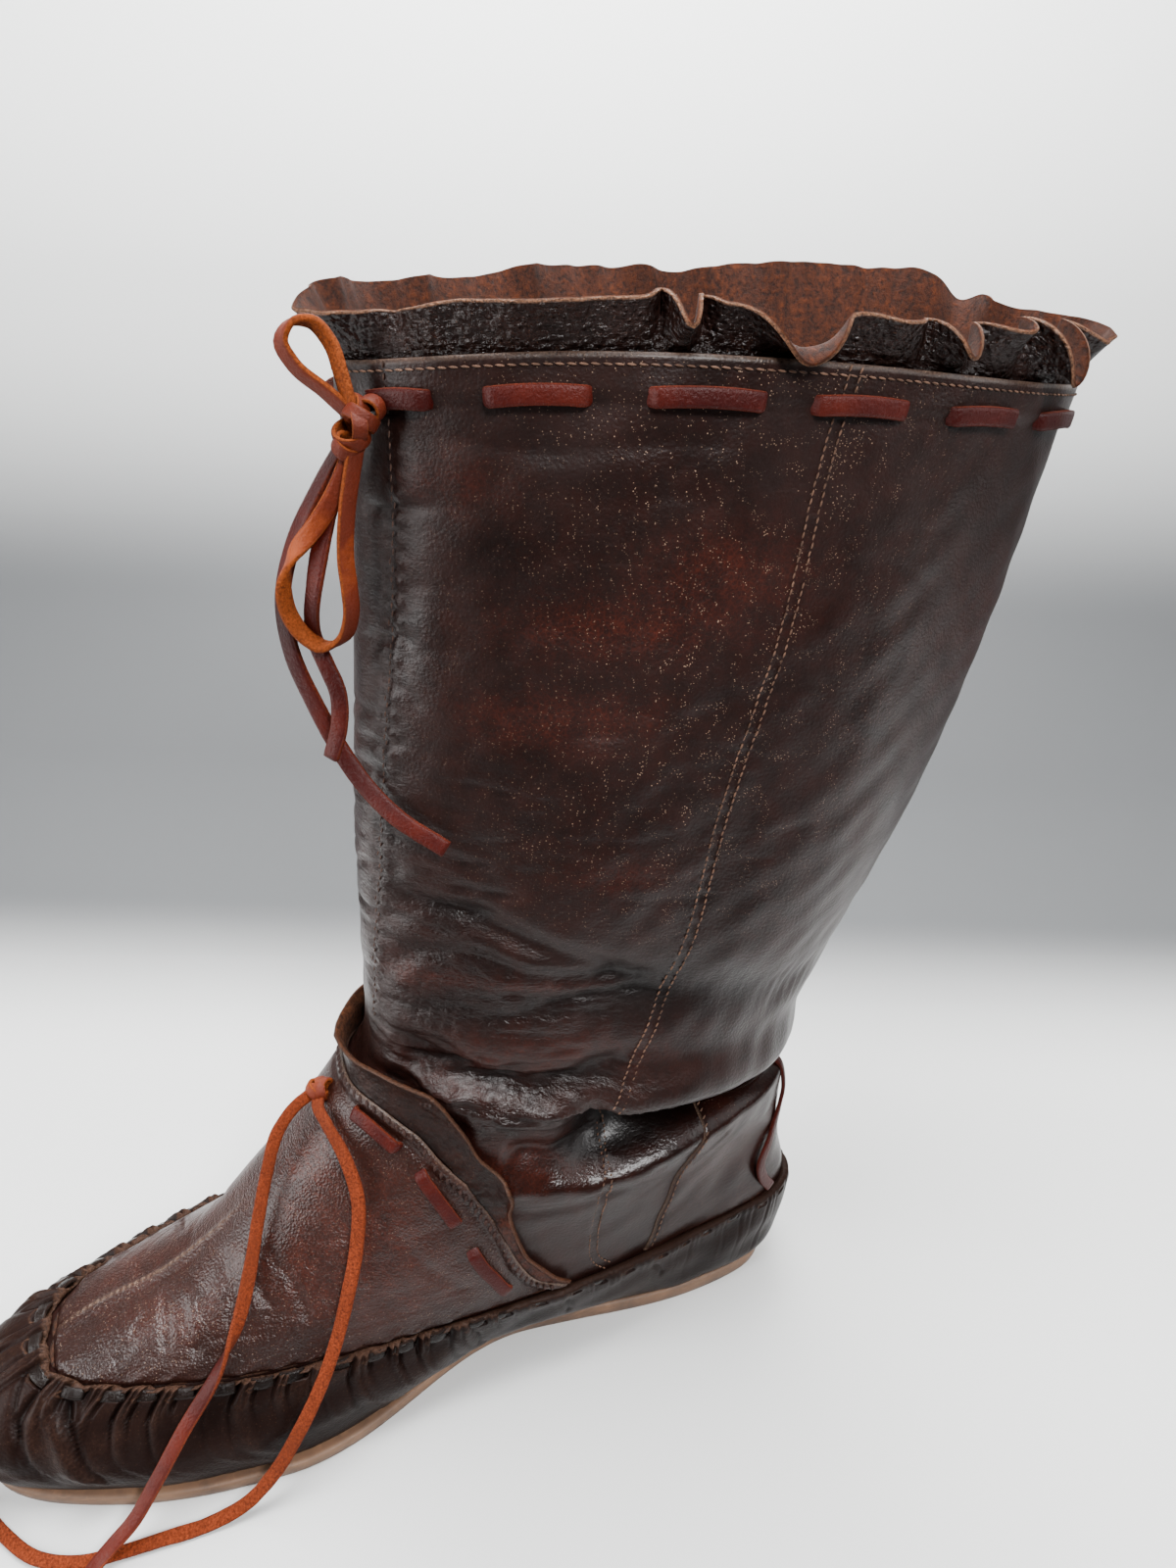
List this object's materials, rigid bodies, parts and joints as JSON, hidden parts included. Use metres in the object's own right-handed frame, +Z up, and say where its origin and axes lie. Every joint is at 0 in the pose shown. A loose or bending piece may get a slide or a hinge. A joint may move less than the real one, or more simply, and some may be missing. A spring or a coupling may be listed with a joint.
{
  "type": "moccasin boot",
  "caption": "Calf-high soft leather moccasin boot for the right foot, gathered toe seam, thong laced at throat and collar, ruffled collar, thin rubber sole.",
  "frame": {"origin": "middle of the boot's box at the floor, measured without the free thong ends", "axes": "+Y to the toe, +X to the wearer's right (outer side), +Z up from the floor"},
  "size_m": [0.1453, 0.3236, 0.3176],
  "materials": {
    "dark_leather": "glossy, creased and rubbed",
    "ruffle_leather": "thin, satin, raw cut edge",
    "thong_leather": "smooth face, fuzzy back",
    "tan_rubber": "matt",
    "insole_leather": "matt"
  },
  "bodies": {
    "root": {"outsole": "tan_rubber", "insole": "insole_leather", "upper": "dark_leather", "moccasin_wall": "dark_leather", "vamp": "dark_leather", "heel_counter": "dark_leather", "throat_cuff": "ruffle_leather", "collar_ruffle": "ruffle_leather", "shaft_thong": "thong_leather", "throat_thong": "thong_leather", "bow_knot": "thong_leather", "bow_loop_upper": "thong_leather", "bow_loop_lower": "thong_leather", "bow_end_long": "thong_leather", "bow_end_short": "thong_leather", "throat_knot": "thong_leather", "throat_end_front": "thong_leather", "throat_end_side": "thong_leather", "heel_thong": "thong_leather"}
  },
  "joints": []
}
